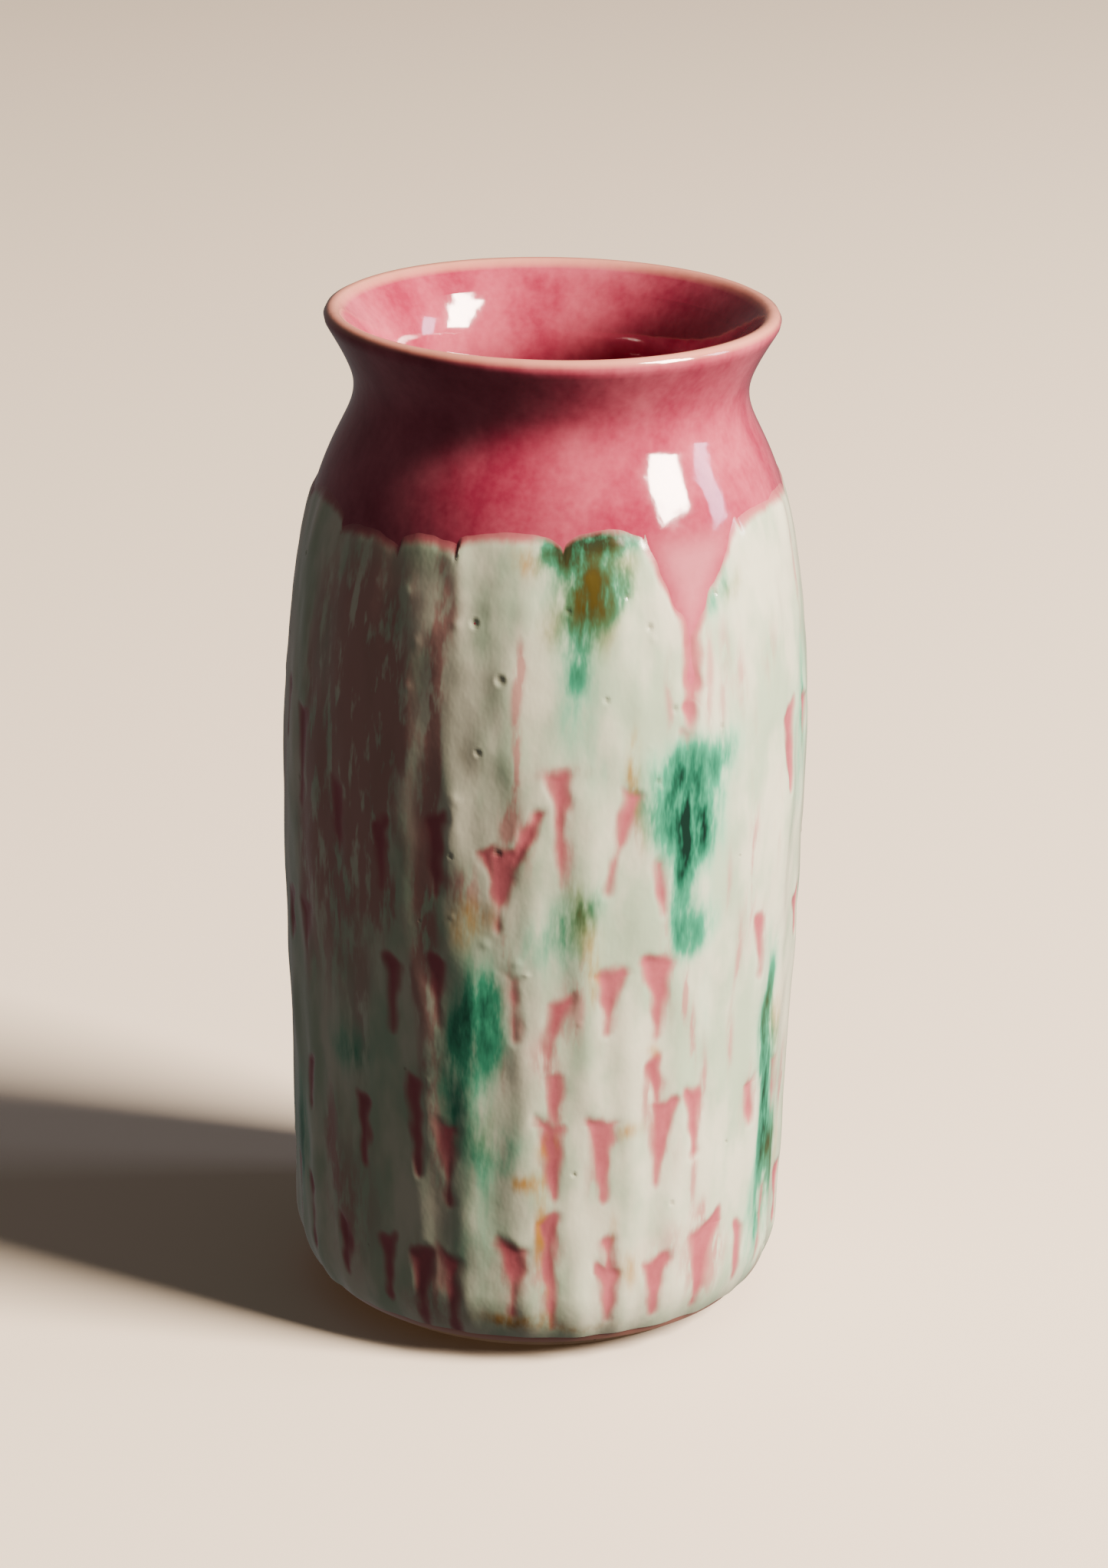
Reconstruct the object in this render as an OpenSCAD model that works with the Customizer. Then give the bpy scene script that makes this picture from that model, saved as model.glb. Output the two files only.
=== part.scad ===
// Wheel-thrown ceramic vase with a flared lip, pink liner and base glazes, and
// a cream glaze dabbed over the pink in five shingled rows.
// Millimetres. +Z is up, the origin is the centre of the foot on the table, and
// the front of the vase, where the long pink run is, faces -Y.

/* [Clay body] */
// Height of the fired clay, from the foot to the crest of the lip
body_h = 169.6; // [160:0.1:180]
// Radius of the clay at its widest point
belly_r = 42.7; // [41:0.1:45]
// Height of the widest point
belly_z = 91; // [86:1:96]
// Radius of the wall where it leaves the rounded foot
wall_r = 40.4; // [38:0.1:41]
// Radius of the waist under the lip
neck_r = 31.75; // [29:0.05:33]
// How far the waist lies below the crest of the lip
neck_drop = 12.6; // [11:0.1:14]
// Thickness of the thrown wall
wall_t = 3.8; // [3:0.1:4.4]

/* [Lip] */
// Outer radius of the clay at the lip
lip_r = 36.6; // [35.5:0.1:38]
// Radius of the rounded bead along the lip
bead_r = 1.1; // [0.9:0.1:1.4]

/* [Foot] */
// Height over which the foot rounds into the wall
foot_h = 14; // [11:1:16]
// Outer radius of the flat ring that the vase stands on
foot_r = 28.6; // [26:0.2:30]
// Width of the flat ring
ring_w = 5; // [3:0.5:7]
// Depth of the turned recess inside the ring
recess_h = 1.8; // [1:0.1:2.5]
// Height of the floor inside, above the table
floor_z = 6.2; // [5.2:0.1:8]
// Height of the inside rounding between floor and wall
corner_h = 8; // [6:0.5:9]

/* [Glaze] */
// Thickness of the pink glaze, inside and outside
pink_t = 0.35; // [0.2:0.05:0.5]
// Thickness of the cream glaze over the pink
cream_t = 0.6; // [0.4:0.05:0.9]
// Height of the bare clay left round the foot
bare_h = 3.6; // [2.5:0.1:4]

/* [Cream rows] */
// Height of the top edge of the first row, on the shoulder
row_1_top = 142; // [140:1:144]
// Height of the top edge of the second row
row_2_top = 106; // [102:1:110]
// Height of the top edge of the third row
row_3_top = 71; // [67:1:75]
// Height of the top edge of the fourth row
row_4_top = 45; // [42:1:49]
// Height of the top edge of the fifth row
row_5_top = 22; // [20:1:25]
// Height of the bottom edge of the fifth row
cream_low = 5; // [4.5:0.1:6]

/* [Dabs] */
// Number of dabs round the first row
shoulder_dabs = 15; // [12:1:18]
// Number of dabs round the second row
second_dabs = 26; // [22:1:28]
// Number of dabs round each of the other rows
lower_dabs = 30; // [26:1:32]
// Azimuth of a gap in the first row, in degrees from the front
shoulder_turn = 8; // [6:1:10]
// Azimuth of a gap in each of the other rows
lower_turn = 3; // [1:1:5]
// Width at the top of the gaps in the first row
shoulder_gap_w = 10; // [7:0.5:12]
// Width at the top of the gaps in the other rows
gap_w = 4.4; // [3.5:0.1:5]
// Depth of the gaps in the first row
shoulder_gap_h = 9; // [7:1:11]
// Depth of the gaps in the second row
second_gap_h = 13; // [10:1:15]
// Depth of the gaps in the other rows
gap_h = 10; // [8:1:12]

/* [Pink run] */
// Azimuth of the long pink run in the top row
run_angle = 32; // [26:1:38]
// Depth of the wide part of the run
run_v_h = 16; // [12:1:20]
// Full length of the run, with its thin tail
run_h = 26; // [22:1:32]
// Width of the run where it leaves the shoulder
run_w = 15; // [10:1:18]
// Width of the tail
tail_w = 1.6; // [1:0.1:2.5]

/* [Hidden] */
$fn = 96;
clay_colour = "#B08D6E";
pink_colour = "#C4566A";
cream_colour = "#DDD9CB";
neck_z = body_h - neck_drop;
bead_c = [lip_r - bead_r, body_h - bead_r];
bead_low = -30;            // angle on the bead where the outside of the flare meets it
bead_in = 135;             // angle on the bead where the inside of the flare meets it
flare_h = 3.2;             // how far the waist stays upright before it flares
flare_pull = 4.2;          // how far the flare runs straight below the bead
mouth_pull = 6.4;          // the same, on the inside of the flare
throat_pull = 3.7;         // how far the inside runs upright above the throat
wall_pull = [0.5, 22];     // handle of the wall's curve at the foot
belly_pull = [0.28, 21];   // handle of the wall's curve below the belly
shoulder_pull = 58;        // handle of the shoulder's curve above the belly
waist_pull = 9.7;          // handle of the shoulder's curve below the waist
bare_angle = asin(bare_h / foot_h - 1);
row_edge = [row_1_top, row_2_top, row_3_top, row_4_top, row_5_top, cream_low];
row_dabs = [shoulder_dabs, second_dabs, lower_dabs, lower_dabs, lower_dabs];
row_gap_h = [shoulder_gap_h, second_gap_h, gap_h, gap_h, gap_h];
gap_corners = [0, 0.5, 0.87, 1];  // how far up a gap's side its corners lie
cut_from = 30;             // a cutter that opens a gap starts this far from the axis
reach = 20;                // length of that cutter, past the widest point
over = 0.5;                // how far a gap's outline runs on above its row's top edge
up = [0, 1];
inward = [-1, 0];

// --- curves -------------------------------------------------------------

// Cubic curve from a to d with handles b and c, in n steps, leaving out its first point
function curve(a, b, c, d, n) =
    [for (i = [1 : n]) let (t = i / n, s = 1 - t)
        s * s * s * a + 3 * s * s * t * b + 3 * s * t * t * c + t * t * t * d];

// Elliptical arc about c from angle a0 to a1 in n steps
function arc(c, rx, rz, a0, a1, n) =
    [for (i = [0 : n]) let (a = a0 + (a1 - a0) * i / n) c + [rx * cos(a), rz * sin(a)]];

function reversed(p) = [for (i = [len(p) - 1 : -1 : 0]) p[i]];
function but_first(p) = [for (i = [1 : len(p) - 1]) p[i]];
function along(angle) = [-sin(angle), cos(angle)];

// Direction of a path at point i, with the given directions at its two ends
function heading(p, i, first, last) =
    i == 0 ? first
    : i == len(p) - 1 ? last
    : (p[i + 1] - p[i - 1]) / norm(p[i + 1] - p[i - 1]);

// The path moved sideways by d, to the right of its direction of travel
function offset_path(p, d, first, last) =
    [for (i = [0 : len(p) - 1]) let (u = heading(p, i, first, last)) p[i] + d * [u[1], -u[0]]];

// Point at height z on a path that climbs all the way
function at_height(p, z) =
    let (i = [for (k = [0 : len(p) - 2]) if (p[k][1] <= z && p[k + 1][1] > z) k][0],
         t = (z - p[i][1]) / (p[i + 1][1] - p[i][1]))
    p[i] + t * (p[i + 1] - p[i]);

// The stretch of a climbing path between two heights
function slice(p, z0, z1) =
    concat([at_height(p, z0)],
           [for (q = p) if (q[1] > z0 + 0.05 && q[1] < z1 - 0.05) q],
           [at_height(p, z1)]);

// --- outlines, as [radius, height] ----------------------------------------

foot_c = [foot_r, foot_h];
foot_w = wall_r - foot_r;
bare_foot = arc(foot_c, foot_w, foot_h, -90, bare_angle, 5);
wall_foot = [wall_r, foot_h];
belly = [belly_r, belly_z];
waist = [neck_r, neck_z];

// Outside of the wall from the top of the foot's rounding to the waist
wall_curve = concat([wall_foot],
    curve(wall_foot, wall_foot + wall_pull, belly - belly_pull, belly, 10),
    curve(belly, belly + [0, shoulder_pull], waist - [0, waist_pull], waist, 18));

bead_foot = bead_c + bead_r * [cos(bead_low), sin(bead_low)];
coated = concat(
    arc(foot_c, foot_w, foot_h, bare_angle, 0, 9),
    but_first(wall_curve),
    curve(waist, waist + [0, flare_h], bead_foot - flare_pull * along(bead_low), bead_foot, 8),
    but_first(arc(bead_c, bead_r, bead_r, bead_low, 90, 8)));

// Inside: over the bead, down the throat, along the wall and over the floor
inner_wall = offset_path(reversed(wall_curve), wall_t, -up, -up);
throat = inner_wall[0];
inner_end = inner_wall[len(inner_wall) - 1];
corner_c = [inner_end[0] - corner_h, floor_z + corner_h];
bead_inside = bead_c + bead_r * [cos(bead_in), sin(bead_in)];
inside = concat(
    arc(bead_c, bead_r, bead_r, 90, bead_in, 5),
    curve(bead_inside, bead_inside + mouth_pull * along(bead_in), throat + [0, throat_pull], throat, 10),
    but_first(inner_wall),
    but_first(arc(corner_c, corner_h, corner_h, 0, -90, 8)),
    [[0, floor_z]]);

pink_face = offset_path(coated, pink_t, along(bare_angle), inward);
cream_face = offset_path(coated, pink_t + cream_t, along(bare_angle), inward);
liner_face = offset_path(inside, pink_t, inward, inward);

// --- pieces --------------------------------------------------------------

// Fired clay: rounded foot, wall, flared lip, inside and turned recess, as one thrown piece
module clay_body() {
    color(clay_colour)
    rotate_extrude()
    polygon(concat(
        bare_foot,
        but_first(coated),
        but_first(inside),
        [[0, recess_h], [foot_r - ring_w - recess_h, recess_h], [foot_r - ring_w, 0]]));
}

// Pink glaze that lines the inside, from the crest of the lip to the floor
module liner_glaze() {
    color(pink_colour)
    rotate_extrude()
    polygon(concat(inside, reversed(liner_face)));
}

// Pink base glaze outside, from the crest of the lip to the bare foot
module pink_glaze() {
    color(pink_colour)
    rotate_extrude()
    polygon(concat(coated, reversed(pink_face)));
}

// Prism that opens a gap of the given outline, drawn as [across, height], at an azimuth
module gap_cutter(azimuth, outline) {
    rotate([90, 0, azimuth])
    translate([0, 0, cut_from])
    linear_extrude(height = reach)
    polygon(outline);
}

// Half of the gap between two round-topped dabs, from its point up: w wide and h deep
function gap_side(w, h, top) =
    [for (s = gap_corners) [w / 2 * (1 - sqrt(1 - s * s)), top - h + (h + over) * s]];

function mirrored(p) = [for (q = reversed(p)) if (q[0] > 0) [-q[0], q[1]]];
function both_sides(side) = concat(side, mirrored(side));

// The long run: a wide V on the shoulder that narrows into a thin tail
function run_side(top) =
    [[tail_w / 2, top - run_h], [tail_w / 2, top - run_v_h],
     [run_w / 4, top - run_v_h / 2], [run_w / 2, top + over]];

// One row of cream dabs: a band of glaze over the pink, notched between the dabs
module cream_row(i) {
    low = row_edge[i + 1];
    top = row_edge[i];
    step = 360 / row_dabs[i];
    turn = i == 0 ? shoulder_turn : lower_turn;
    gap = both_sides(gap_side(i == 0 ? shoulder_gap_w : gap_w, row_gap_h[i], top));
    color(cream_colour)
    difference() {
        // turned so that the band starts and ends in the middle of a dab
        rotate([0, 0, turn + step / 2 - 90])
        rotate_extrude()
        polygon(concat(slice(pink_face, low, top), reversed(slice(cream_face, low, top))));
        for (azimuth = [for (k = [0 : row_dabs[i] - 1]) turn + k * step])
            if (i > 0 || abs(azimuth - run_angle) > step / 2)
                gap_cutter(azimuth, gap);
        if (i == 0)
            gap_cutter(run_angle, both_sides(run_side(top)));
    }
}

clay_body();
liner_glaze();
pink_glaze();
cream_row(0);  // cream_row_1
cream_row(1);  // cream_row_2
cream_row(2);  // cream_row_3
cream_row(3);  // cream_row_4
cream_row(4);  // cream_row_5
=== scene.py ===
# %% [markdown]
# # A thrown vase with dabbed glazes
# This file dresses the clay vase that the frame holds. The clay itself stays as it was
# designed. What gets made here is what the eye meets: the pink glaze inside, the pink
# glaze outside, and five rows of cream glaze that were dabbed over the pink and ran a
# little in the kiln. Everything is in metres, in the frame's own axes: +Z up, front -Y.

# %% Load the frame
import math

import bpy
import numpy as np
from mathutils import Matrix, Vector


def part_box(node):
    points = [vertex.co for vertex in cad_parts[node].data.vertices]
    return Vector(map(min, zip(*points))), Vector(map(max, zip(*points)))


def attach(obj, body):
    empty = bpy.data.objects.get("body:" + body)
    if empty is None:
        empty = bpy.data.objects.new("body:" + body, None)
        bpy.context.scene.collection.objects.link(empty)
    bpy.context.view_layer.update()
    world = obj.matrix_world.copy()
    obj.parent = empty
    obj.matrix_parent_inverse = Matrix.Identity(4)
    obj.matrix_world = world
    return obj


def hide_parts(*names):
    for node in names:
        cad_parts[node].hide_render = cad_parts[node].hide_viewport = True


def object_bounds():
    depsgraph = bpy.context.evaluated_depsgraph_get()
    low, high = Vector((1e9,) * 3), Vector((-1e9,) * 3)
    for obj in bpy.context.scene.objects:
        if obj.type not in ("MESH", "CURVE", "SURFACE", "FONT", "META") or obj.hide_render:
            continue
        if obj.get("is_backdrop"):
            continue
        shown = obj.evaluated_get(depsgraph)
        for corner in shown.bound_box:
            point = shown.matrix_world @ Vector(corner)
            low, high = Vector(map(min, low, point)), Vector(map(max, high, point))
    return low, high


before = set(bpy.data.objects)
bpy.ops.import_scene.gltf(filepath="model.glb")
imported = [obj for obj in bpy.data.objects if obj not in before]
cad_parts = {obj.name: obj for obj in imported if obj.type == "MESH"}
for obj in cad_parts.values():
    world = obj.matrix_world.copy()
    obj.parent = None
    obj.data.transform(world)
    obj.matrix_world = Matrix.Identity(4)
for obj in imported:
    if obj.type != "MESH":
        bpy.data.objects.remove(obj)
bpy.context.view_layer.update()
MM = 0.001

# %% [markdown]
# ## Where the clay's faces lie
# A glaze follows the clay exactly, so its shape is read from the frame and not typed in
# again. Every coat is a turned solid, so each corner of its mesh lies on a ring: a radius
# and a height. The rings that a coat has and the clay doesn't have are taken for the coat's
# own face, and a smooth line through them is the face's profile. For the outer coat that
# holds. The liner has three rings, near heights of 110, 113 and 137 mm, that are on its back
# and get through, because its mesh and the clay's are cut at different heights there. They
# make its profile swing, which is a known fault.

# %% Profiles from the frame
def node_rings(name):
    """The rings of a turned node as (radius, height) pairs in whole hundredths of a millimetre."""
    mesh = bpy.data.objects[name].data
    places = np.zeros(len(mesh.vertices) * 3)
    mesh.vertices.foreach_get("co", places)
    places = places.reshape(-1, 3)
    radius = np.hypot(places[:, 0], places[:, 1])
    return {(round(r / MM, 2), round(z / MM, 2)) for r, z in zip(radius, places[:, 2])}


def smooth_line(points, step):
    """Points every step along a smooth curve through the given ones."""
    points = np.array(points, float)
    gap = np.hypot(*np.diff(points, axis=0).T)
    points = points[np.concatenate([[True], gap > 0.05])]      # one point for each ring
    gap = np.hypot(*np.diff(points, axis=0).T)
    along = np.concatenate([[0], np.cumsum(gap)])
    slope = np.gradient(points, along, axis=0)
    count = max(2, int(round(along[-1] / step)) + 1)
    wanted = np.linspace(0, along[-1], count)
    k = np.clip(np.searchsorted(along, wanted, side="right") - 1, 0, len(points) - 2)
    h = (along[k + 1] - along[k])[:, None]
    t = ((wanted - along[k])[:, None]) / h
    return ((2 * t**3 - 3 * t**2 + 1) * points[k] + (t**3 - 2 * t**2 + t) * h * slope[k]
            + (3 * t**2 - 2 * t**3) * points[k + 1] + (t**3 - t**2) * h * slope[k + 1])


clay_rings = node_rings("clay_body")
pink_rings = sorted(node_rings("pink_glaze") - clay_rings, key=lambda p: (p[1], -p[0]))
liner_rings = sorted(node_rings("liner_glaze") - clay_rings, key=lambda p: (-p[1], -p[0]))
print("outer face:", len(pink_rings), "rings from", pink_rings[0], "to", pink_rings[-1])
print("inner face:", len(liner_rings), "rings from", liner_rings[0], "to", liner_rings[-1])

# %% [markdown]
# ## Hand-made unevenness
# Nothing thrown by hand is perfectly round. A few long waves, added together, give the
# slow swell of a wall that fingers made, and shorter ones give the lumps of a brushed
# glaze. Each wave closes on itself round the vase, so there is no seam. The seed is
# fixed, so the vase comes out the same every time.

# %% Waves round the vase
GIRTH_MM = 270.0            # once round the body
MM_PER_DEGREE = GIRTH_MM / 360


def waves(azimuth, height, size, seed, stretch=1.0):
    """Gentle lumps about size mm across and stretch times as tall, between about -1 and 1."""
    rng = np.random.default_rng(seed)
    total = np.zeros_like(azimuth)
    for _ in range(14):
        lean = rng.uniform(0, 2 * math.pi)
        length = size * rng.uniform(0.75, 1.4)
        round_count = round(GIRTH_MM / length * math.cos(lean))
        up_rate = 2 * math.pi / (length * stretch) * math.sin(lean)
        total += np.cos(round_count * azimuth + up_rate * height + rng.uniform(0, 2 * math.pi))
    return total / 4


def soft_step(low, high, value):
    """0 below low, 1 above high, and a smooth climb between."""
    t = np.clip((value - low) / (high - low), 0, 1)
    return t * t * (3 - 2 * t)


def apart(a, b):
    """Difference of two azimuths in degrees, between -180 and 180."""
    return (a - b + 180) % 360 - 180


def wall_swell(azimuth, height):
    """How far the thrown wall stands out or in, in mm."""
    return 0.10 * waves(azimuth, height, 90, 1, 1.2) + 0.03 * waves(azimuth, height, 34, 2, 0.6)


def lip_dip(azimuth, height):
    """How far the lip sinks towards one side, in mm, as a cut rim is never quite level."""
    return 0.12 * (1 - np.cos(azimuth - 0.8)) * soft_step(150, 170, height)


# %% [markdown]
# ## Where the cream lies
# The cream glaze was dabbed on with a fingertip or a full brush. Each dab has a round
# top and runs down, so between two dabs a gap is left: wide above, pointed below, with
# the pink showing through. The gaps at the front are placed one by one, in degrees from
# the front and mm above the table. Round the back, where no gap has a place of its own,
# loops set out the same rows by the same rules.

# %% Gaps between the dabs
# azimuth, top, point, half width in degrees, and how far the point lies to the side
FRONT_GAPS = [
    (-8.5, 91, 79, 2.2, -0.6), (3.2, 104.5, 87, 1.1, 1.0), (-1.0, 98.5, 88, 0.9, -6.0),
    (19.0, 101, 85.5, 1.1, -5.0), (25.5, 89, 81, 0.3, 1.5), (-23.5, 96, 84, 1.4, 0.5),
    (-37.0, 93, 83, 1.2, 0.5), (-50.0, 97, 86, 1.0, 0.5), (-12.0, 91.5, 87.5, 0.8, 1.5),
    (4.4, 66, 55, 1.9, -2.8), (15.2, 70.5, 61, 2.5, 0.0), (26.4, 72, 59.5, 3.2, 0.4),
    (-6.0, 70, 60, 0.5, 0.6), (-23.0, 72, 61, 1.0, 0.5), (-34.0, 70, 58, 1.0, 0),
    (3.0, 44.5, 32, 2.3, 1.0), (3.6, 53, 44, 0.5, 0.2), (14.4, 44.5, 31.5, 2.7, 0.6),
    (29.6, 46.5, 33, 2.4, -1.6), (25.8, 54, 45, 0.4, 2.5), (37.0, 47, 37, 1.8, 1.0),
    (-20.5, 43, 29.5, 1.7, 0.6), (-28.5, 50, 34, 0.9, 1.0), (-43, 44, 33, 1.0, 0),
    (-5.2, 22.5, 10.5, 2.6, 0.2), (2.4, 27, 8, 1.4, 1.8), (17.2, 17.5, 9, 2.2, 0.2),
    (16.6, 23, 16, 0.5, 0.6), (28.6, 18, 9, 2.8, 0.2), (42.0, 22, 8.5, 3.8, -1.0),
    (-27.0, 19, 5.5, 2.2, 0.2), (-19.5, 19.5, 5.5, 2.2, 0.4), (-36.0, 20, 10, 1.2, 0),
    (-50.0, 20, 11, 1.2, 0), (56.0, 74, 65, 1.0, 1.5), (55.5, 45, 38, 1.0, 1.0),
    (55.0, 19, 10, 1.0, 0), (32.0, 114.5, 110, 0.5, 0.2), (31.6, 110, 106, 0.5, 0.2),
]
ROW_TOPS = [106, 71, 45, 22]
ROW_DEPTHS = [13, 10, 11.5, 11]
UNSEEN_FROM = 62            # past this azimuth to either side the loops take over


def back_gaps():
    """Gaps for the sides and the back: about every twelve degrees in each row, none alike."""
    rng = np.random.default_rng(7)
    gaps = []
    for top, depth in zip(ROW_TOPS, ROW_DEPTHS):
        azimuth = UNSEEN_FROM + 5
        while azimuth < 360 - UNSEEN_FROM:
            drop = depth * rng.uniform(0.6, 1.25)
            width = rng.uniform(0.4, 2.3)
            start = top + rng.uniform(-2.0, 2.5)
            if rng.random() < 0.8:
                gaps.append((azimuth + rng.uniform(-2, 2), start, start - drop, width,
                             rng.uniform(-1.5, 1.5)))
            azimuth += 12
    return gaps


GAPS = FRONT_GAPS + back_gaps()
print(len(FRONT_GAPS), "gaps placed by hand,", len(GAPS) - len(FRONT_GAPS), "set out by rule")

# %% [markdown]
# The top edge of the cream is a row of arches with a cusp between each two. At the
# front right the pink ran down in a long V with a thin tail, so there the edge drops.

# %% Top edge and the long run
# from azimuth, to azimuth, height of the arch's top, and how far its ends sag
ARCHES = [
    (-58, -37, 139.5, 1.2), (-37, -21.5, 140.6, 1.2), (-21.5, 3.5, 142.4, 2.2), (3.5, 23.5, 142.9, 2.8),
    (23.5, 52, 142.2, 0.5), (52, 88, 142.3, 1.0), (88, 112, 143.5, 3.0), (112, 131, 141.0, 2.4),
    (131, 158, 142.5, 3.0), (158, 180, 144.0, 3.2), (180, 203, 141.5, 2.6), (203, 226, 143.0, 3.0),
    (226, 252, 142.0, 2.6), (252, 275, 140.5, 2.2), (275, 302, 141.8, 2.4),
]
RUN_AT = 33.0               # azimuth of the long run, in degrees
RUN_LEAN = 4.0              # how far to the right the V's top lies
RUN_TOP = 142.5
RUN_NECK = 125.5            # height at which the V has narrowed to its tail
RUN_END = 116.0
RUN_HALF_TOP = 14.5         # half width of the V at its top, in degrees
TAIL_HALF = 0.85


def top_edge(degrees):
    """Height of the cream's top edge at each azimuth."""
    edge = np.full_like(degrees, 140.0)
    for start, end, top, sag in ARCHES:
        middle, half = (start + end) / 2, (end - start) / 2
        across = apart(degrees, middle) / half
        inside = np.abs(across) <= 1
        edge = np.where(inside, top - sag * (1 - np.sqrt(np.clip(1 - across**2, 0, 1))), edge)
    return edge


def outside_gap(degrees, height, gap):
    """Distance in mm to one gap, below zero inside it."""
    azimuth, top, point, half, side = gap
    up = np.clip((height - point) / (top - point), 0, 1)
    middle = azimuth + side * (1 - up)
    half_here = half * (1 - np.sqrt(np.clip(1 - up**2, 0, 1))) ** 0.6 - 0.6 * (1 - up)
    beside = (np.abs(apart(degrees, middle)) - half_here) * MM_PER_DEGREE
    tilt = 0.4 * math.sin(7 * azimuth) * apart(degrees, azimuth)
    above = np.maximum(height + tilt - top, point - height)
    return np.hypot(np.maximum(beside, 0), np.maximum(above, 0)) + np.minimum(np.maximum(beside, above), 0)


def outside_run(degrees, height):
    """Distance in mm to the long run, below zero inside it."""
    up = np.clip((height - RUN_NECK) / (RUN_TOP - RUN_NECK), 0, 1)
    half = TAIL_HALF + (RUN_HALF_TOP - TAIL_HALF) * up**1.15
    half *= soft_step(RUN_END, RUN_END + 3, height)
    beside = (np.abs(apart(degrees, RUN_AT + RUN_LEAN * up)) - half) * MM_PER_DEGREE
    return np.maximum(beside, RUN_END - height)


def cream_cover(azimuth, height):
    """Distance in mm from the nearest bare pink: above zero where cream lies."""
    degrees = np.degrees(azimuth)
    cover = np.minimum(top_edge(degrees) - height, outside_run(degrees, height))
    for gap in GAPS:
        near = (np.abs(apart(degrees, gap[0])) < 12) & (height < gap[1] + 6) & (height > gap[2] - 6)
        cover[near] = np.minimum(cover[near], outside_gap(degrees[near], height[near], gap))
    ragged = 0.26 * waves(azimuth, height, 3.2, 11, 1.6) + 0.34 * waves(azimuth, height, 8, 12, 1.5)
    by_the_run = 1 - soft_step(10, 17, np.abs(apart(degrees, RUN_AT + RUN_LEAN / 2)))
    ragged *= 1 - 0.75 * soft_step(134, 138, height) * (1 - by_the_run)
    return np.clip(cover + ragged, -3, 6)


# %% [markdown]
# ## How thick the cream lies
# A dab is thickest along its middle, thinner at its sides and heavier towards its lower
# end, where the glaze gathered. The cream stands a few tenths of a mm above the pink, and
# at its edge it slopes down to nothing.

# %% Thickness of the cream
CREAM_MM = 0.26
EDGE_MM = 2.2               # how far from a gap the cream has its full thickness
TUCKED_MM = -0.05           # over the top edge and in the long run its skin dips under the pink
FILM_MM = 0.03              # in the gaps lower down a film of it stays on the pink
THIN_MM = 0.06              # where cream lies it is hardly thinner than this,
THIN_ROUND_MM = 0.10        # and eases towards it over this much
THICK_MM = 0.66             # it is hardly thicker than this,
THICK_ROUND_MM = 0.05       # and eases towards it over this much
DAB_COUNT = [17, 26, 30, 30, 30]
DAB_TURN = 3.0              # azimuth of one valley between dabs, in degrees
ROW_EDGES = [150, 106, 71, 45, 22, 0]
HEAVY_RUN = -20.5           # azimuth of a heavy run, with a deep valley on its left
# azimuth, height and radius in mm of pits left by burst bubbles, and of bubbles that didn't burst
PITS = [(-9.6, 120, 0.7), (4.6, 131, 0.5), (23, 128, 0.5), (-16, 128.5, 0.6), (28.5, 114.5, 0.55),
        (24.6, 103, 0.45), (-9.5, 91.5, 0.6), (13, 117, 0.4), (-14, 108, 0.45), (18, 133, 0.4)]
BUBBLES = [(-33, 132, 0.9), (-29.5, 124.5, 1.0), (-20, 128, 0.8), (-19, 100, 0.9), (-31, 117, 0.7),
           (5.4, 129.8, 0.5), (-12, 76, 0.8), (-5, 73, 0.7), (-3, 71, 0.5), (23.8, 126, 0.5)]


def scattered(count, seed):
    """Small spots anywhere on the cream."""
    rng = np.random.default_rng(seed)
    return [(rng.uniform(-180, 180), rng.uniform(10, 138), rng.uniform(0.25, 0.4)) for _ in range(count)]


def dots(azimuth, height, spots, spread):
    """1 at the middle of each spot and falling to 0 round it."""
    degrees = np.degrees(azimuth)
    total = np.zeros_like(azimuth)
    for middle, level, radius in spots:
        near = np.abs(height - level) < 4
        near[near] = np.abs(apart(degrees[near], middle)) < 6
        away = np.hypot(apart(degrees[near], middle) * MM_PER_DEGREE, height[near] - level) / radius
        total[near] += np.exp(-((away - spread) ** 2) * (1 if spread == 0 else 5))
    return total


ALL_PITS = PITS + scattered(24, 71)
ALL_BUBBLES = BUBBLES + scattered(40, 72)


def dab_relief(azimuth, height):
    """Rounded backs of the dabs, blended from row to row, in mm."""
    relief = np.zeros_like(azimuth)
    for row, count in enumerate(DAB_COUNT):
        top, low = ROW_EDGES[row], ROW_EDGES[row + 1]
        share = soft_step(low - 5, low + 3, height) * (1 - soft_step(top - 5, top + 3, height))
        wander = 0.45 * waves(azimuth, height, 40, 20 + row, 2.0)
        backs = np.cos(count * (azimuth - math.radians(DAB_TURN)) + math.pi + wander)
        gather = 1 - np.clip((height - low) / (top - low), 0, 1)
        relief += share * (0.15 * backs + 0.08 * gather)
    return relief


def heavy_run(azimuth, height):
    """A thick run at the left of the front, and the valley beside it, in mm."""
    bend = 1.2 * waves(azimuth, height, 24, 35, 1.0)
    side = apart(np.degrees(azimuth), HEAVY_RUN) + bend
    shape = 0.22 * np.exp(-((side / 3.0) ** 2)) - 0.24 * np.exp(-(((side + 7.0) / 3.2) ** 2))
    return shape * soft_step(60, 84, height) * (1 - soft_step(138, 146, height))


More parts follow.
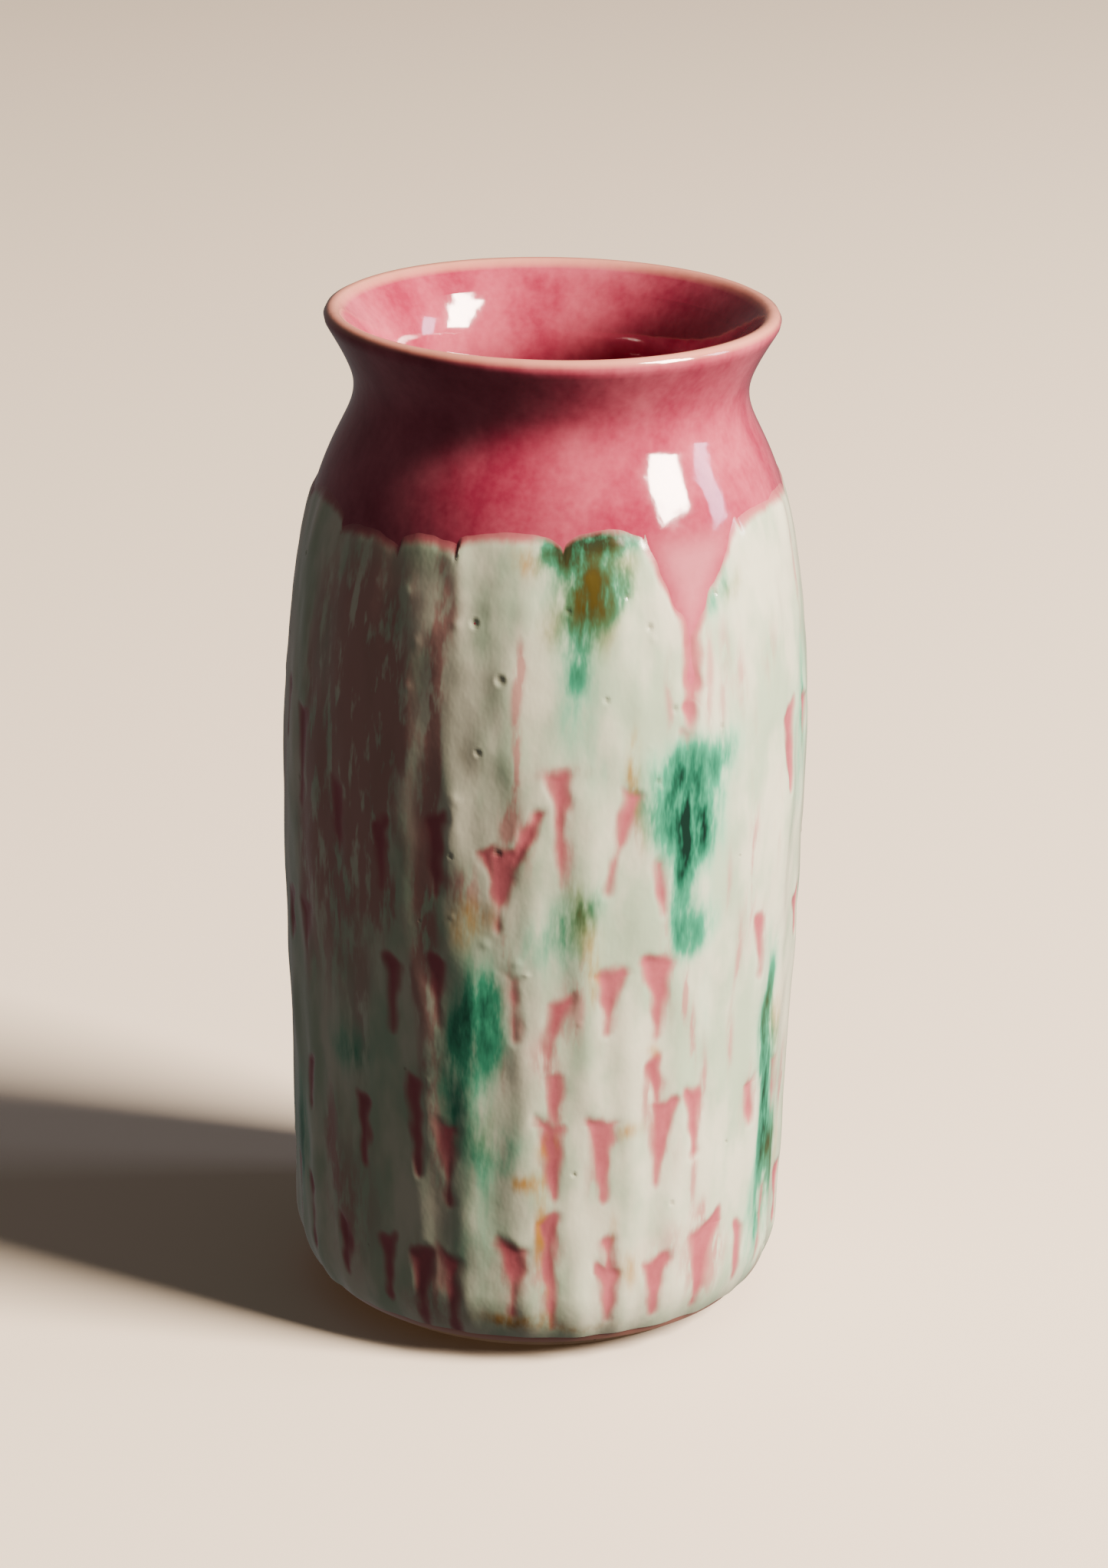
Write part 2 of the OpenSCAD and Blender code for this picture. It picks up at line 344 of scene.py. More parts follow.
def cream_rise(azimuth, height):
    """Height of the cream's skin above the pink, in mm."""
    on = soft_step(-0.9, EDGE_MM, cream_cover(azimuth, height))
    lumps = 0.085 * waves(azimuth, height, 6, 31, 2.2) + 0.11 * waves(azimuth, height, 15, 32, 2.0)
    body = CREAM_MM + dab_relief(azimuth, height) + heavy_run(azimuth, height) + lumps
    body = THIN_MM + THIN_ROUND_MM * np.logaddexp(0, (body - THIN_MM) / THIN_ROUND_MM)
    body = np.minimum(body, THICK_MM + THICK_ROUND_MM * np.tanh((body - THICK_MM) / THICK_ROUND_MM))
    body += 0.11 * dots(azimuth, height, ALL_BUBBLES, 0) + 0.04 * dots(azimuth, height, ALL_PITS, 1.5)
    body -= 0.18 * dots(azimuth, height, ALL_PITS, 0)
    bare = FILM_MM + (TUCKED_MM - FILM_MM) * soft_step(115, 121, height)
    return bare + on * (body - bare)


# %% [markdown]
# ## Stains in the glaze
# Copper brushed over the cream melted into soft green clouds, dark where it is thick,
# sea green where it is thin. A touch of iron turned ochre, and where both met the green is
# olive. Along some streaks the pink blushes through, and a few wide blush spots on the
# shaded left paint shade there too. Each stain is a soft spot with a place, a size and a
# strength, and the vase's points carry the sums as attributes that the glaze material reads.

# %% Places of the stains
# azimuth, height, half width in degrees, half height in mm, strength
COPPER = [
    (12, 142.5, 9, 1.8, 1.5), (5, 139.5, 4, 2.4, 1.1), (11.5, 136, 7, 6, 1.1), (6.5, 130, 7, 8, 0.6),
    (7, 120, 4.5, 9, 0.55), (44, 132.5, 5, 4.5, 0.5), (39, 129, 2.4, 3, 0.4), (31, 97, 5.4, 9, 1.05),
    (25, 100, 4.4, 6, 0.5), (41, 103, 5, 8.5, 0.6), (36, 92, 5, 7, 0.55), (31, 105, 9, 4, 0.35),
    (32, 85, 3.6, 9, 0.8), (34.5, 77, 5, 4, 0.5), (8, 82, 5.5, 7, 0.5), (2, 76, 9, 6, 0.4),
    (10, 106, 9, 5, 0.2), (-14.5, 62, 6, 9, 1.0), (-11, 67, 4, 5, 0.45), (-19, 47, 4.5, 8, 0.6),
    (-11, 40, 4, 10, 0.55), (62, 58, 4.4, 10, 1.0), (64, 42, 4.0, 12, 1.0), (68, 31, 5, 9, 0.9),
    (64, 17, 6, 7, 0.6), (76, 105, 6, 14, 0.6), (-48, 51, 7, 6, 0.4), (-76, 28, 9, 12, 0.75),
    (-58, 118, 6, 8, 0.25), (-16, 20, 7, 9, 0.25), (4, 62, 9, 5, 0.16), (39, 62, 2.6, 8, 0.25),
    (-4, 25, 5, 6, 0.14), (10, 18, 4, 8, 0.12), (-40, 60, 10, 16, 0.22), (-38, 20, 12, 8, 0.14),
    (104, 60, 7, 12, 0.8), (122, 132, 9, 7, 0.6), (140, 92, 7, 14, 0.8), (158, 40, 6, 12, 0.6),
    (178, 112, 7, 10, 0.5), (196, 68, 7, 13, 0.8), (214, 136, 10, 5, 0.7), (230, 30, 8, 10, 0.5),
    (246, 98, 7, 12, 0.6), (262, 64, 6, 9, 0.5),
]
IRON = [
    (11, 135, 8, 7, 1.0), (-4.5, 139, 4, 2.4, 0.6), (7, 131, 6, 6, 0.65), (19.5, 105, 1.5, 6, 0.85),
    (22, 96, 2.4, 7, 0.35), (8.5, 81, 4.5, 6.5, 0.9), (11, 72, 1.6, 5, 0.5), (-18, 79, 4, 5, 0.45),
    (46, 133, 4, 3, 0.45), (2.2, 41, 1.8, 3, 0.8), (-2, 34, 3.0, 1.8, 0.8), (1, 26, 1.4, 7, 0.8),
    (3, 15, 1.4, 4, 0.4), (22, 43, 4, 2, 0.55), (22.5, 18, 2.2, 4, 0.5), (18, 26, 1.2, 4, 0.5),
    (26, 56, 2, 1.6, 0.45), (-6, 9, 9, 1.5, 0.7), (8, 7, 12, 1.2, 0.4), (66, 52, 5, 8, 0.7),
    (70, 28, 5, 7, 0.7), (-12, 42, 4, 4, 0.4), (-13, 80, 6, 3, 0.35), (-15, 105, 5, 4, 0.2),
    (104, 66, 6, 6, 0.6), (142, 100, 6, 6, 0.7), (197, 76, 6, 7, 0.7), (246, 104, 5, 6, 0.5),
    (172, 24, 2, 5, 0.6), (218, 52, 2, 5, 0.6), (128, 20, 2, 6, 0.5), (58, 120, 2, 4, 0.2),
]
BLUSH_AND_SHADE = [
    (-6, 120, 1.2, 6, 0.8), (-5.8, 106, 1.0, 8, 0.85), (4, 105.5, 5, 1.4, 0.5), (-8, 96, 1.6, 4, 0.8),
    (-3.5, 93, 2.4, 4, 0.5), (5, 92, 1.5, 6, 0.6), (33.5, 66, 0.9, 6, 0.9), (36, 57, 0.9, 5, 0.85),
    (39.5, 48, 1.0, 7, 0.85), (38, 34, 1.0, 7, 0.7), (41, 25, 1.4, 2.5, 0.8), (48.5, 68, 1.4, 9, 0.55),
    (47, 54, 1.2, 5, 0.5), (57.5, 70, 2.0, 5, 0.7), (55.5, 44, 2.0, 5, 0.6), (44, 82, 1.0, 9, 0.4),
    (43, 121, 2.2, 8, 0.35), (47, 118, 1.4, 8, 0.4), (58, 120, 3, 6, 0.3), (27, 116, 1.2, 7, 0.5),
    (37.5, 117, 1.2, 8, 0.5), (41, 110, 1.0, 7, 0.45), (32, 108, 1.4, 7, 0.8), (28, 81, 1.2, 7, 0.7),
    (30, 75, 1.4, 4, 0.6), (9, 74, 1.0, 5, 0.4), (8, 66, 1.4, 5, 0.5), (-24, 110, 2.2, 26, 0.9),
    (-35, 113, 2.4, 11, 0.9), (-26, 78, 2.4, 18, 0.9), (-22, 50, 3, 16, 0.8), (-37, 88, 2.6, 11, 0.9),
    # here and on the next line, the wide spots from -40 to -52 on the shaded left are red streaks that also
    # paint shade there
    (-43, 58, 3, 10, 0.7), (-40, 98, 9, 18, 0.5), (-48, 24, 9, 11, 0.5), (-18, 84, 6, 4, 0.5),
    (45, 15, 5, 6, 0.6), (-46, 120, 14, 16, 0.9), (-52, 86, 12, 22, 0.75), (52, 84, 1.6, 12, 0.6),
    (-8, 72, 2, 9, 0.7), (-8.5, 60, 1.4, 8, 0.7), (-64, 76, 3, 12, 0.6),
    (-55, 34, 2.5, 10, 0.6), (2, 58, 3, 6, 0.5), (6, 66, 2, 5, 0.4), (15, 66, 4, 6, 0.35),
    (27, 66, 4.5, 6, 0.35), (3.4, 44, 2.6, 9, 0.6), (14.6, 39, 3.5, 7, 0.4), (29, 42, 4, 7, 0.5),
    (25, 50, 1.2, 5, 0.5), (-5, 17, 4, 6, 0.5), (3, 18, 3, 9, 0.55), (17, 17, 3, 8, 0.4),
    (29, 15, 4, 6, 0.4), (34, 22, 3, 4, 0.3), (42, 17, 4, 7, 0.6), (-24, 14, 7, 8, 0.5),
    (20, 97, 2.2, 7, 0.45), (51, 100, 1.2, 14, 0.25), (62, 90, 1.4, 12, 0.3), (-60, 104, 3, 14, 0.5),
]


def back_blush(count):
    """Thin rose streaks for the sides and the back, each drawn out in height."""
    rng = np.random.default_rng(81)
    return [(rng.uniform(UNSEEN_FROM + 5, 360 - UNSEEN_FROM), rng.uniform(15, 132), rng.uniform(0.9, 3.0),
             rng.uniform(5, 15), rng.uniform(0.4, 0.9)) for _ in range(count)]


BACK_STREAKS = 46
BLUSH_AND_SHADE += back_blush(BACK_STREAKS)


def stain(azimuth, height, spots, seed):
    """Sum of soft spots, with edges that wander as a melted stain's do."""
    degrees = np.degrees(azimuth)
    sideways = 1.6 * waves(azimuth, height, 11, seed, 1.6)
    upwards = 1.4 * waves(azimuth, height, 12, seed + 1, 1.8)
    total = np.zeros_like(azimuth)
    for middle, level, half, tall, strength in spots:
        x = (apart(degrees, middle) + sideways * min(1, half / 4)) / half
        z = (height + upwards * min(1, tall / 4) - level) / tall
        total += strength * np.exp(-0.85 * (x * x + z * z))
    return np.clip(total, 0, 1.5)


print(len(COPPER), "copper,", len(IRON), "iron and", len(BLUSH_AND_SHADE), "blush spots")

# %% [markdown]
# ## Turning the coats
# A pot is a cross-section turned once round an axis. A circle gives a closed ring of
# points, the points are laid on the coat's cross-section, outer face and inner face, and
# the Screw modifier turns the ring once round. It is quicker than the Spin operator and
# closes the turn by itself. Then the skin is pushed out or in by the glaze's thickness.

# %% Turn a cross-section
def turned(name, section, steps):
    """A closed ring of points at the given radii and heights in mm, turned into a solid."""
    bpy.ops.object.select_all(action="DESELECT")
    bpy.ops.mesh.primitive_circle_add(vertices=len(section), radius=MM)
    piece = bpy.context.object
    piece.name = name
    piece.data.name = name
    places = np.column_stack([section[:, 0], np.zeros(len(section)), section[:, 1]]) * MM
    piece.data.vertices.foreach_set("co", places.ravel())
    wheel = piece.modifiers.new("wheel", "SCREW")
    wheel.steps = wheel.render_steps = steps
    wheel.use_merge_vertices = True
    wheel.merge_threshold = 0.004 * MM
    bpy.ops.object.modifier_apply(modifier=wheel.name)
    bpy.ops.object.mode_set(mode="EDIT")
    bpy.ops.mesh.select_all(action="SELECT")
    bpy.ops.mesh.remove_doubles(threshold=0.004 * MM)
    bpy.ops.mesh.normals_make_consistent(inside=False)
    bpy.ops.object.mode_set(mode="OBJECT")
    return piece


def points_of(piece):
    """Azimuth in radians from the front, height and radius in mm of every point."""
    places = np.zeros(len(piece.data.vertices) * 3)
    piece.data.vertices.foreach_get("co", places)
    x, y, z = places.reshape(-1, 3).T / MM
    return np.arctan2(x, -y), z, np.hypot(x, y)


def move_to(piece, azimuth, height, radius):
    """Puts every point at its azimuth, height and radius."""
    places = np.column_stack([radius * np.sin(azimuth), -radius * np.cos(azimuth), height]) * MM
    piece.data.vertices.foreach_set("co", places.ravel())
    piece.data.update()


def give_attribute(piece, name, values):
    """Stores one number per point, for the material to read."""
    layer = piece.data.attributes.new(name, "FLOAT", "POINT")
    layer.data.foreach_set("value", values.astype(np.float32))


def finish_piece(piece, slot, *nodes):
    """Smooth shading, and the piece's place in the frame."""
    bpy.ops.object.select_all(action="DESELECT")
    piece.select_set(True)
    bpy.context.view_layer.objects.active = piece
    bpy.ops.object.shade_smooth_by_angle(angle=math.radians(40))
    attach(piece, "root")
    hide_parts(*nodes)
    faces = len(piece.data.polygons)
    print(piece.name, "has", faces, "faces and stands for", *nodes)


# %% [markdown]
# ### The pink outside
# The outer coat runs from the bare foot up over the lip. On the wall it goes on under the
# cream, where it fills the gaps. It is carried over the crest of the lip and a little way
# down inside, so that the join with the liner lies on a calm stretch of wall and not on
# the round of the lip, where it would show.

# %% Pink coat outside
def profile_radius(rings, height):
    """Radius of a climbing profile at each height."""
    line = smooth_line(rings, 0.5)
    return np.interp(height, line[:, 1], line[:, 0])


def shell_section(face, depth):
    """Cross-section of a coat: its face, and a few points on its back, depth mm below."""
    slope = np.gradient(face, axis=0)
    normal = np.column_stack([slope[:, 1], -slope[:, 0]])
    normal /= np.linalg.norm(normal, axis=1)[:, None]
    back = face - depth * normal
    return np.vstack([face, back[::-1][::4], back[:1]])


JOIN_RINGS = 9              # rings of the liner's profile that the outer coat takes over
PINK_MM = 0.3
outer_line = smooth_line(pink_rings + liner_rings[1:JOIN_RINGS], 0.95)
lip_top = max(p[1] for p in pink_rings)
pink_coat = turned("pink_coat", shell_section(outer_line, PINK_MM), 384)
azimuth, height, radius = points_of(pink_coat)
swell = wall_swell(azimuth, height) * soft_step(3, 30, height)
move_to(pink_coat, azimuth, height - lip_dip(azimuth, height), radius + swell)
crest = 0.75 * soft_step(lip_top - 1.5, lip_top - 0.3, height)
give_attribute(pink_coat, "lip", np.maximum(crest, 1 - soft_step(3.5, 6.5, height)))
# the long run's pink is paler: the glaze is thinner there, and a painted highlight of the window's glare
# lies on it
run_thin_and_highlight = soft_step(3, -5, outside_run(np.degrees(azimuth), height)) * soft_step(144, 137, height)
give_attribute(pink_coat, "thin", run_thin_and_highlight)
finish_piece(pink_coat, "pink_glaze", "pink_glaze")

# %% [markdown]
# ### The liner
# Inside, the same pink was poured in, swilled round and poured out. It is smooth, with
# the faint spiral of throwing rings under it.

# %% Liner
LINER_INSET_MM = 0.4        # how much further in than the frame's own liner it lies, down the wall
inner_line = smooth_line(liner_rings, 1.1)
crest_end = np.array(liner_rings[JOIN_RINGS - 1])
start = int(np.argmin(np.hypot(*(inner_line - crest_end).T)))
inner_line = np.vstack([[crest_end], inner_line[start + 1:]])
inner_line[-1, 0] = 0.0
liner = turned("liner_coat", shell_section(inner_line, PINK_MM), 320)
azimuth, height, radius = points_of(liner)
swell = wall_swell(azimuth, height) * soft_step(5, 30, radius) * soft_step(8, 30, height)
rings = 0.09 * np.sin(2 * math.pi * height / 8.5 + azimuth) * soft_step(20, 40, height)
rings *= 1 - soft_step(128, 145, height)
# it keeps the clay from showing through where the liner's profile swings, but not everywhere
inset = LINER_INSET_MM * soft_step(10, 22, height) * (1 - soft_step(143, 152, height))
move_to(liner, azimuth, height - lip_dip(azimuth, height), radius + swell + rings - inset)
finish_piece(liner, "pink_glaze", "liner_glaze")

# %% [markdown]
# ### The cream rows
# Each row is a band of its own, turned and then pushed out by the thickness of the cream.
# Neighbouring rows end on one shared ring and take their thickness from one function, so
# the glaze runs on from row to row without a step, as it melted. In a gap only a film of
# the band is left on the pink. Over the top edge and in the long run its skin dips under it.

# %% Cream rows
CREAM_BACK_MM = -0.24       # the band's back lies this far under the pink's face
ROWS = ["cream_row_1", "cream_row_2", "cream_row_3", "cream_row_4", "cream_row_5"]
TOP_SPARE_MM = 3.0          # the first band starts this far above the CAD row, for its highest arch


def band_heights(low, high, step):
    """Heights of a band's rings, closer together at its two ends."""
    inner = np.linspace(low + 0.45, high - 0.45, int((high - low) / step))
    return np.concatenate([[low, low + 0.08, low + 0.22], inner, [high - 0.22, high - 0.08, high]])


def cream_band(name, low, high):
    """One row of cream, from its lower to its upper ring."""
    heights = band_heights(low, high, 0.45)
    face = np.column_stack([profile_radius(pink_rings, heights), heights])
    back = face[::-1][::6] + [CREAM_BACK_MM, 0]
    section = np.vstack([face, back, [face[0] + [CREAM_BACK_MM, 0]]])
    band = turned(name, section, 720)
    azimuth, height, radius = points_of(band)
    on_face = radius > profile_radius(pink_rings, height) + CREAM_BACK_MM / 2
    rise = np.where(on_face, cream_rise(azimuth, height), 0)
    swell = wall_swell(azimuth, height) * soft_step(3, 30, height)
    move_to(band, azimuth, height, radius + rise + swell)
    give_attribute(band, "cover", cream_cover(azimuth, height))
    give_attribute(band, "copper", stain(azimuth, height, COPPER, 41))
    give_attribute(band, "iron", stain(azimuth, height, IRON, 51))
    give_attribute(band, "blush_and_shade", stain(azimuth, height, BLUSH_AND_SHADE, 61))
    give_attribute(band, "pit", dots(azimuth, height, ALL_PITS, 0))
    return band


cream_bands = []
for name in ROWS:
    low, high = (corner[2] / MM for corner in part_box(name))
    if name == ROWS[0]:
        high += TOP_SPARE_MM
    band = cream_band(name + "_dabs", low, high)
    finish_piece(band, "cream_glaze", name)
    cream_bands.append(band)

# %% [markdown]
# ## Colours and nodes
# Colours are written as hex values, as they look on a screen, and turned to the linear
# numbers that the shaders mix. One helper adds a node, sets its settings, fills or links
# its inputs and gives back one of its outputs, so each material reads as a recipe.

# %% Helpers for materials
def colour(hex_value):
    """A screen colour such as #c4566a as linear red, green, blue and alpha."""
    parts = [int(hex_value[i:i + 2], 16) / 255 for i in (1, 3, 5)]
    return tuple(c / 12.92 if c <= 0.04045 else ((c + 0.055) / 1.055) ** 2.4 for c in parts) + (1.0,)


def add_node(tree, kind, inputs=None, out=0, **settings):
    """Adds a node. Inputs are values or sockets, under the input's name or number."""
    node = tree.nodes.new("ShaderNode" + kind)
    for name, value in settings.items():
        setattr(node, name, value)
    for key, value in (inputs or {}).items():
        if isinstance(value, bpy.types.NodeSocket):
            tree.links.new(value, node.inputs[key])
        else:
            node.inputs[key].default_value = value
    return node if out is None else node.outputs[out]


def new_material(name):
    """An empty material and its node tree."""
    material = bpy.data.materials.new(name)
    material.use_nodes = True
    material.node_tree.nodes.clear()
    return material, material.node_tree


COLOUR_A, COLOUR_B, COLOUR_OUT = 6, 7, 2     # a Mix node's sockets when it mixes colours
NUMBER_OUT = 2                               # an Attribute node's single number
OBJECT_OUT = 3                               # a Texture Coordinate node's Object place
MIXES_COLOURS = {"out": COLOUR_OUT, "data_type": "RGBA"}
SOFT_ENDS = {"interpolation_type": "SMOOTHSTEP"}


def object_mm(tree, stretch=1.0):
    """Object coordinates in mm, squeezed in height so that a pattern comes out taller."""
    place = add_node(tree, "TexCoord", out=OBJECT_OUT)
    return add_node(tree, "Mapping", {"Vector": place, "Scale": (1000, 1000, 1000 / stretch)})


def glaze_skin(tree, peel_mm, depth_mm):
    """The orange peel of a fired glaze as a bump: ripples about peel_mm across."""
    ripple = add_node(tree, "TexNoise", {"Vector": object_mm(tree, 1.2), "Scale": 1 / peel_mm,
                                         "Detail": 1.5, "Roughness": 0.45})
    return add_node(tree, "Bump", {"Strength": 1.0, "Distance": depth_mm * MM, "Height": ripple})


# %% [markdown]
# ## Pink glaze
# A tin-rose stoneware glaze, poured inside and dipped outside. It is glossy and glassy,
# with soft clouds where it lies thinner. On the sharp crest of the lip melted glaze creeps
# away from the edge, so there it is paler. Its surface is not a mirror: it has the fine
# orange peel of a fired glaze, so highlights stay clear but get uneven edges.

# %% Pink glaze, cloudy and glossy
PINK_DEEP = "#8c3247"
PINK_PALE = "#b05c6b"
# the paler pink of the long run: thinner glaze, and a painted highlight of the window's glare
PINK_THIN_AND_HIGHLIGHT = "#c4848c"
PINK_LIP = "#c7937f"


def pink_tone(tree):
    """The pink glaze's colour: clouds a finger wide, and a faint grain."""
    clouds = add_node(tree, "TexNoise", {"Vector": object_mm(tree, 1.3), "Scale": 1 / 14,
                                         "Detail": 4.0, "Roughness": 0.6})
    grain = add_node(tree, "TexNoise", {"Vector": object_mm(tree), "Scale": 1 / 1.1, "Detail": 2.0})
    amount = add_node(tree, "MapRange", {"Value": clouds, "From Min": 0.35, "From Max": 0.7})
    amount = add_node(tree, "Math", {0: grain, 1: 0.45, 2: amount}, operation="MULTIPLY_ADD")
    amount = add_node(tree, "Math", {0: amount, 1: 0.2}, operation="SUBTRACT", use_clamp=True)
    return add_node(tree, "Mix", {0: amount, COLOUR_A: colour(PINK_DEEP), COLOUR_B: colour(PINK_PALE)},
                    **MIXES_COLOURS)


def pink_glaze():
    material, tree = new_material("pink_stoneware_glaze_glossy")
    lip = add_node(tree, "Attribute", out=NUMBER_OUT, attribute_name="lip")
    thin = add_node(tree, "Attribute", out=NUMBER_OUT, attribute_name="thin")
    # paler in the long run: thinner glaze, with a painted highlight there
    veil = add_node(tree, "Math", {0: thin, 1: 0.55}, operation="MULTIPLY")
    tone = add_node(tree, "Mix", {0: veil, COLOUR_A: pink_tone(tree), COLOUR_B: colour(PINK_THIN_AND_HIGHLIGHT)},
                    **MIXES_COLOURS)
    tone = add_node(tree, "Mix", {0: lip, COLOUR_A: tone, COLOUR_B: colour(PINK_LIP)}, **MIXES_COLOURS)
    shader = add_node(tree, "BsdfPrincipled", {
        "Base Color": tone, "Roughness": 0.1, "IOR": 1.52, "Normal": glaze_skin(tree, 3.0, 0.06),
        "Coat Weight": 0.3, "Coat Roughness": 0.04, "Coat IOR": 1.5})
    add_node(tree, "OutputMaterial", {"Surface": shader}, out=None)
    return material


# %% [markdown]
# ## Cream glaze
# A tin-white glaze with a little rutile, fired over the pink. It is creamy where it lies
# thick, and lets the pink come through where it is thin: along its edges, down a few
# streaks and in the valleys between dabs. Five numbers that the points carry steer it: how
# far the nearest edge is, how much copper, iron and blush is there, with painted shade in
# the blush on the shaded left, and where the pits are. Noise that is drawn out in height
# breaks them up, because melting glaze runs down the wall.

# %% Cream glaze over pink, with its stains
CREAM_WARM = "#c1c0ae"
CREAM_COOL = "#a2b09a"
THIN_ROSE = "#a9706f"
OCHRE = "#a3783c"
OLIVE = "#4f4522"
PIT_BROWN = "#6f5a4c"
COPPER_RAMP = [(0.0, "#a9c9b4"), (0.25, "#79b598"), (0.5, "#438c70"), (0.75, "#2b6450"), (1.0, "#182f27")]


def pits(tree, cell_mm, pit_mm):
    """Pinholes: one in some of the cells of a pattern, 1 at its middle and 0 outside."""
    place = object_mm(tree)
    nearness = add_node(tree, "TexVoronoi", {"Vector": place, "Scale": 1 / cell_mm})
    chance = add_node(tree, "TexVoronoi", {"Vector": place, "Scale": 1 / cell_mm}, out=1)
    chosen = add_node(tree, "Math", {0: chance, 1: 0.62}, operation="GREATER_THAN")
    hole = add_node(tree, "MapRange", {"Value": nearness, "From Min": pit_mm / cell_mm, "From Max": 0.0},
                    **SOFT_ENDS)
    return add_node(tree, "Math", {0: hole, 1: chosen}, operation="MULTIPLY")


def cream_glaze():
    material, tree = new_material("cream_rutile_glaze_over_pink")
    cover = add_node(tree, "Attribute", out=NUMBER_OUT, attribute_name="cover")
    blush_and_shade = add_node(tree, "Attribute", out=NUMBER_OUT, attribute_name="blush_and_shade")
    iron = add_node(tree, "Attribute", out=NUMBER_OUT, attribute_name="iron")
    copper = add_node(tree, "Attribute", out=NUMBER_OUT, attribute_name="copper")
    pit = add_node(tree, "Attribute", out=NUMBER_OUT, attribute_name="pit")
    clouds = add_node(tree, "TexNoise", {"Vector": object_mm(tree, 2.2), "Scale": 1 / 9,
                                         "Detail": 3.0, "Roughness": 0.55})
    runs = add_node(tree, "TexNoise", {"Vector": object_mm(tree, 4.0), "Scale": 1 / 2.2,
                                       "Detail": 3.0, "Roughness": 0.6})
    fine = add_node(tree, "TexNoise", {"Vector": object_mm(tree, 1.5), "Scale": 1 / 0.7, "Detail": 2.0})

    # thick cream, in clouds of a warm and a cool tone
    cool = add_node(tree, "MapRange", {"Value": clouds, "From Min": 0.38, "From Max": 0.64}, **SOFT_ENDS)
    tone = add_node(tree, "Mix", {0: cool, COLOUR_A: colour(CREAM_WARM), COLOUR_B: colour(CREAM_COOL)},
                    **MIXES_COLOURS)

    # rose down the streaks, with painted shade from the wide blush spots on the shaded left, and where the
    # cream thins out towards an edge
    streaks = add_node(tree, "MapRange", {"Value": runs, "From Min": 0.3, "From Max": 0.6, "To Max": 1.6},
                       **SOFT_ENDS)
    streaks = add_node(tree, "Math", {0: blush_and_shade, 1: streaks}, operation="MULTIPLY")
    streaks = add_node(tree, "MapRange", {"Value": streaks, "To Max": 0.75}, **SOFT_ENDS)
    tone = add_node(tree, "Mix", {0: streaks, COLOUR_A: tone, COLOUR_B: colour(THIN_ROSE)}, **MIXES_COLOURS)
    lying = add_node(tree, "Math", {0: runs, 1: -1.2, 2: cover}, operation="MULTIPLY_ADD")
    thick = add_node(tree, "MapRange", {"Value": lying, "From Min": -0.2, "From Max": 1.3}, **SOFT_ENDS)
    tone = add_node(tree, "Mix", {0: thick, COLOUR_A: colour(THIN_ROSE), COLOUR_B: tone}, **MIXES_COLOURS)

    # the film left in the gaps is nearly as pink as the coat under it
    film = add_node(tree, "Mix", {0: 0.45, COLOUR_A: pink_tone(tree), COLOUR_B: colour(THIN_ROSE)},
                    **MIXES_COLOURS)
    thick = add_node(tree, "MapRange", {"Value": lying, "From Min": -0.9, "From Max": 0.3}, **SOFT_ENDS)
    tone = add_node(tree, "Mix", {0: thick, COLOUR_A: film, COLOUR_B: tone}, **MIXES_COLOURS)

    # iron
    strength = add_node(tree, "MapRange", {"Value": runs, "From Min": 0.1, "From Max": 0.7, "To Max": 1.25},
                        **SOFT_ENDS)
    iron = add_node(tree, "Math", {0: iron, 1: strength}, operation="MULTIPLY")
    amount = add_node(tree, "MapRange", {"Value": iron, "From Min": 0.05, "From Max": 0.9, "To Max": 0.9},
                      **SOFT_ENDS)
    tone = add_node(tree, "Mix", {0: amount, COLOUR_A: tone, COLOUR_B: colour(OCHRE)}, **MIXES_COLOURS)

    # copper, and olive where it meets the iron
    strength = add_node(tree, "MapRange", {"Value": runs, "From Min": -0.1, "From Max": 0.9, "To Max": 1.5},
                        **SOFT_ENDS)
    copper = add_node(tree, "Math", {0: copper, 1: strength}, operation="MULTIPLY")
    along = add_node(tree, "Math", {0: copper, 1: 0.66}, operation="MULTIPLY")
    ramp = add_node(tree, "ValToRGB", {0: along}, out=None)
    while len(ramp.color_ramp.elements) < len(COPPER_RAMP):
        ramp.color_ramp.elements.new(0.5)
    for stop, (place, hex_value) in zip(ramp.color_ramp.elements, COPPER_RAMP):
        stop.position = place
        stop.color = colour(hex_value)
    olive = add_node(tree, "Math", {0: iron, 1: 0.75}, operation="MULTIPLY")
    green = add_node(tree, "Mix", {0: olive, COLOUR_A: ramp.outputs[0], COLOUR_B: colour(OLIVE)},
                     **MIXES_COLOURS)
    amount = add_node(tree, "MapRange", {"Value": copper, "From Max": 0.75}, **SOFT_ENDS)
    tone = add_node(tree, "Mix", {0: amount, COLOUR_A: tone, COLOUR_B: green}, **MIXES_COLOURS)

    # pits, and the soft edge of the cream
    holes = add_node(tree, "Math", {0: pits(tree, 9.0, 0.45), 1: pit}, operation="MAXIMUM")
    shade = add_node(tree, "Math", {0: holes, 1: 0.35}, operation="MULTIPLY")
    tone = add_node(tree, "Mix", {0: shade, COLOUR_A: tone, COLOUR_B: colour(PIT_BROWN)}, **MIXES_COLOURS)
    edge = add_node(tree, "Math", {0: fine, 1: 0.4, 2: cover}, operation="MULTIPLY_ADD")
    edge = add_node(tree, "MapRange", {"Value": edge, "From Min": -0.5, "From Max": 1.0}, **SOFT_ENDS)
    tone = add_node(tree, "Mix", {0: edge, COLOUR_A: film, COLOUR_B: tone}, **MIXES_COLOURS)

